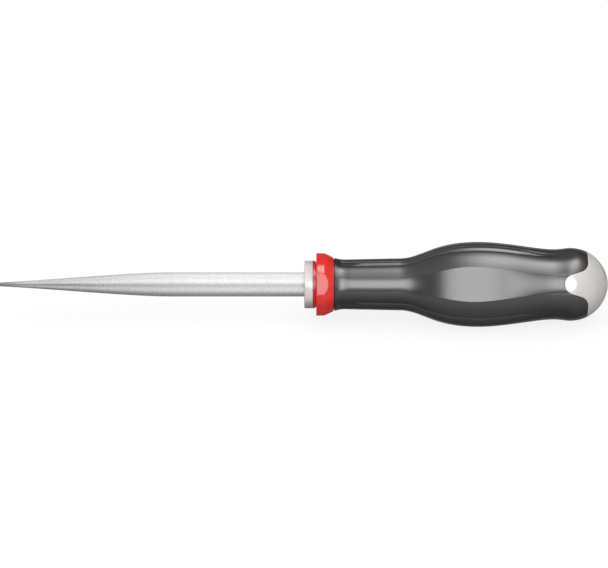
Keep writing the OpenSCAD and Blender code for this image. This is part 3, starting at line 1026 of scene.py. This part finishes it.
def floor_material():
    """White, lifted for the camera and in reflections; with cards of painted shade and painted glow
    for all rays but the camera's.
    """
    material, tree, shader = new_material("white_floor")
    path = tree.nodes.new("ShaderNodeLightPath").outputs
    handle, dark, gap, pale = floor_masks(tree)
    # Painted shade: under the tool the floor is darker for reflections and bounce light, but not for
    # the camera.
    painted_shade_tone = blended(tree, handle, BLADE_SHADE_TONE, HANDLE_SHADE_TONE)
    unseen_tone = blended(tree, dark, FLOOR_TONE, painted_shade_tone)
    tone = blended(tree, path["Is Camera Ray"], unseen_tone, FLOOR_SEEN_TONE)
    tree.links.new(tone, shader.inputs["Base Color"])
    # Painted light: the gap and the pale card glow, in reflections only.
    painted_gap_glow = math_node(tree, "MULTIPLY", gap, GAP_LIFT)
    open_lift = blended(tree, pale, FLOOR_LIFT, FLOOR_LIFT + PALE_LIFT)
    mirrored = math_node(tree, "MAXIMUM", path["Is Glossy Ray"], path["Is Transmission Ray"])
    mirrored_lift = math_node(tree, "MULTIPLY", mirrored, blended(tree, dark, open_lift, painted_gap_glow))
    lift = blended(tree, path["Is Camera Ray"], mirrored_lift, FLOOR_SEEN_LIFT)
    tree.links.new(lift, shader.inputs["Emission Strength"])
    shader.inputs["Emission Color"].default_value = (1, 1, 1, 1)
    shader.inputs["Roughness"].default_value = FLOOR_ROUGH
    shader.inputs["Specular IOR Level"].default_value = 0.0
    return material


WHITE_FLOOR = floor_material()

# %% [markdown]
# The sheet is a single face, far wider than the picture, so its edge never shows. It lies a hair
# below the tool, because two faces at one height would flicker.

# %% Floor
FLOOR_HALF, FLOOR_BELOW = 4.0, 0.05 * MM


def white_floor():
    """Flat sheet just under the tool."""
    low = cad_box[0][2] - FLOOR_BELOW
    mesh = bpy.data.meshes.new("floor")
    corners = np.array([(-1, -1), (1, -1), (1, 1), (-1, 1)]) * FLOOR_HALF
    mesh.from_pydata([(x, y, low) for x, y in corners], [], [(0, 1, 2, 3)])
    floor = bpy.data.objects.new("floor", mesh)
    bpy.context.scene.collection.objects.link(floor)
    dress(floor, WHITE_FLOOR)
    print("floor at", round(low, 5))


white_floor()

# %% [markdown]
# The camera stands well back with a long lens, square to the axis and in line with the side that
# faces it. From nearer by, the ends of the tool would be seen at a slant. The lens follows from
# the width of the picture, so the tool's length just fills it.

# %% Camera
VIEW_TURN = LAY_TURN
CAMERA_FAR, SENSOR = 2.0, 36.0
PICTURE_PIXELS, PIXEL = 608, 0.4109 * MM
PICTURE_WIDE = PICTURE_PIXELS * PIXEL
AIM_RIGHT, AIM_UP = 0.02 * MM, 0.15 * MM
TO_CAMERA = Vector((0, -math.cos(VIEW_TURN), math.sin(VIEW_TURN)))
PICTURE_UP = Vector((0, math.sin(VIEW_TURN), math.cos(VIEW_TURN)))
MIDDLE = Vector(((TIP_X + BUTT_X) / 2 + AIM_RIGHT, 0, 0)) + AIM_UP * PICTURE_UP


def set_camera():
    """Long lens whose picture is as wide as the tool at its axis."""
    data = bpy.data.cameras.new("camera")
    data.sensor_width = SENSOR
    data.sensor_fit = "HORIZONTAL"
    data.lens = SENSOR * CAMERA_FAR / PICTURE_WIDE
    camera = bpy.data.objects.new("camera", data)
    camera.location = MIDDLE + CAMERA_FAR * TO_CAMERA
    camera.rotation_euler = (-TO_CAMERA).to_track_quat("-Z", "Y").to_euler()
    bpy.context.scene.collection.objects.link(camera)
    bpy.context.scene.camera = camera
    print("lens", round(data.lens), "mm at", CAMERA_FAR, "m")


set_camera()

# %% [markdown]
# The light is a white tent. It is brightest above the camera, a bit to the left, and fades from
# there, which models the pale cap. In reflections only, it has a dark opening left of the camera,
# which the satin steel mirrors as a soft dark line along its middle. Lamps and a dark card could
# do the same, but as a formula of the direction the tent has no edges and adds no objects.

# %% Tent
TENT_MEAN, TENT_SWING, TENT_LEAST = 0.64, 0.89, 0.06
BRIGHT_SIDE = Vector((-0.37, -0.71, 0.61)).normalized()
OPENING_DARK, OPENING_SOFT = 0.97, 1.1
OPENING_AT, OPENING_SIZE = (-0.36, -0.17), (0.47, 0.66)


def share_along(tree, direction):
    """Dot product of a direction with the direction that is looked in."""
    where = tree.nodes.new("ShaderNodeTexCoord")
    dot = tree.nodes.new("ShaderNodeVectorMath")
    dot.operation = "DOT_PRODUCT"
    dot.inputs[1].default_value = direction
    tree.links.new(where.outputs["Generated"], dot.inputs[0])
    return dot.outputs["Value"]


def opening_mask(tree):
    """Smooth step of the ellipse (across/a)^2 + (up/b)^2 in front, and 0 behind or unmirrored."""
    squares = []
    for axis, at, size in zip((Vector((1, 0, 0)), PICTURE_UP), OPENING_AT, OPENING_SIZE):
        off = math_node(tree, "MULTIPLY_ADD", share_along(tree, axis), 1 / size, -at / size)
        squares.append(math_node(tree, "MULTIPLY", off, off))
    inside = ramp(tree, math_node(tree, "ADD", *squares), 0.0, OPENING_SOFT, 1.0, 0.0)
    front = math_node(tree, "GREATER_THAN", share_along(tree, TO_CAMERA), 0.0)
    mirrored = tree.nodes.new("ShaderNodeLightPath").outputs["Is Glossy Ray"]
    return math_node(tree, "MULTIPLY", inside, math_node(tree, "MULTIPLY", front, mirrored))


def tent_world():
    """Strength: (mean + swing * share along the bright side) * (1 - dark * opening)."""
    world = bpy.data.worlds.new("tent")
    bpy.context.scene.world = world
    world.use_nodes = True
    tree = world.node_tree
    bright = share_along(tree, BRIGHT_SIDE)
    tent = math_node(tree, "MULTIPLY_ADD", bright, TENT_SWING, TENT_MEAN)
    tent = math_node(tree, "MAXIMUM", tent, TENT_LEAST)
    kept = math_node(tree, "MULTIPLY_ADD", opening_mask(tree), -OPENING_DARK, 1.0)
    back = tree.nodes["Background"]
    back.inputs["Color"].default_value = (1, 1, 1, 1)
    tree.links.new(math_node(tree, "MULTIPLY", tent, kept), back.inputs["Strength"])
    print("tent from", TENT_LEAST, "to", round(TENT_MEAN + TENT_SWING, 2))


tent_world()

# %% [markdown]
# Dark plastic shows little but reflections, so the handle also gets large cards to mirror: one in
# front for its flat lands and one overhead for its shoulders. A glowing sheet would do, but it
# would light everything. A lamp with its diffuse visibility off shows in reflections alone, a
# receiver collection keeps it to one piece, and nodes fade its edges.

# %% Helper: cards
CARD_FAR = 0.6


def fade_edges(lamp_data, left, right, low, high):
    """Fades a lamp's strength towards its edges, over shares of its width and height."""
    lamp_data.use_nodes = True
    tree = lamp_data.node_tree
    split = tree.nodes.new("ShaderNodeSeparateXYZ")
    tree.links.new(tree.nodes.new("ShaderNodeNewGeometry").outputs["Parametric"], split.inputs[0])
    fades = []
    for label, near, far in (("X", left, right), ("Y", low, high)):
        up = ramp(tree, split.outputs[label], 0.0, near)
        down = ramp(tree, split.outputs[label], 1.0 - far, 1.0, 1.0, 0.0)
        fades.append(math_node(tree, "MULTIPLY", up, down))
    strength = math_node(tree, "MULTIPLY", *fades)
    tree.links.new(strength, tree.nodes["Emission"].inputs["Strength"])


def card(name, piece, turn_up, span, tall, radiance, soft=None, diffuse=False, tint=(1, 1, 1)):
    """Lamp for one piece, over a span of X, turned up from the camera's direction.

    Its power is radiance times pi times its area.
    """
    a = math.radians(turn_up)
    away = math.cos(a) * TO_CAMERA + math.sin(a) * PICTURE_UP
    wide = span[1] - span[0]
    data = bpy.data.lights.new(name, "AREA")
    data.shape = "RECTANGLE"
    data.size, data.size_y = wide, tall
    data.energy = radiance * math.pi * wide * tall
    data.color = tint
    if soft:
        fade_edges(data, *soft)
    lamp = bpy.data.objects.new(name, data)
    lamp.location = Vector(((span[0] + span[1]) / 2, 0, 0)) + CARD_FAR * away
    lamp.rotation_euler = (math.pi / 2 - VIEW_TURN - a, 0, 0)
    lamp.visible_diffuse = diffuse
    bpy.context.scene.collection.objects.link(lamp)
    lit = bpy.data.collections.new(name + "_receivers")
    lit.objects.link(piece)
    lamp.light_linking.receiver_collection = lit
    print(name, "lights", piece.name)


print("cards stand", CARD_FAR, "m off")

# %% [markdown]
# Every piece has cards of its own, because each mirrors the room in its own way. The grip's fade
# softly. The two that the ring mirrors are blue-green, because white ones would make so bright a
# red glare. The steels get a rear card for their upper edges, and one weak, low lamp fills the
# ring's shaded underside.

# %% Cards
REAR_SPAN, REAR_SOFT = (-0.5, 0.6), (0.15, 0.15, 0.5, 0.08)

card("front_card", grip, turn_up=3, span=(-0.06, 0.365), tall=0.81, radiance=10.6,
     soft=(0.15, 0.1, 0.2, 0.36))
card("front_card_for_ring", ring, turn_up=2, span=(-0.05, 0.46), tall=0.42, radiance=6.6,
     tint=(0.2, 1, 1.04))
card("front_card_for_cap", end_cap, turn_up=3, span=(-0.05, 0.34), tall=0.76, radiance=9.5)
card("front_strip", bolster, turn_up=-2, span=(-0.2, 0.4), tall=0.29, radiance=1.25)
card("rear_card_for_bolster", bolster, turn_up=112, span=REAR_SPAN, tall=1.5, radiance=0.5,
     soft=REAR_SOFT)
card("overhead_card", grip, turn_up=57.5, span=(0.006, 0.55), tall=0.95, radiance=12.5,
     soft=(0.592, 0.324, 0.75, 0.3))
card("overhead_card_for_ring", ring, turn_up=57, span=(0.0, 0.4), tall=0.6, radiance=16.0,
     soft=(0.5, 0.5, 0.5, 0.5), tint=(0.4, 1, 1))
card("low_fill_for_ring", ring, turn_up=-22, span=(-0.2, 0.46), tall=0.2, radiance=0.45, diffuse=True)
card("rear_card", blade, turn_up=112, span=REAR_SPAN, tall=1.5, radiance=0.6, soft=REAR_SOFT)

# %% [markdown]
# The render keeps the plain Standard look, so colours come out as they are written.

# %% Finish
bpy.context.scene.view_settings.view_transform = "Standard"
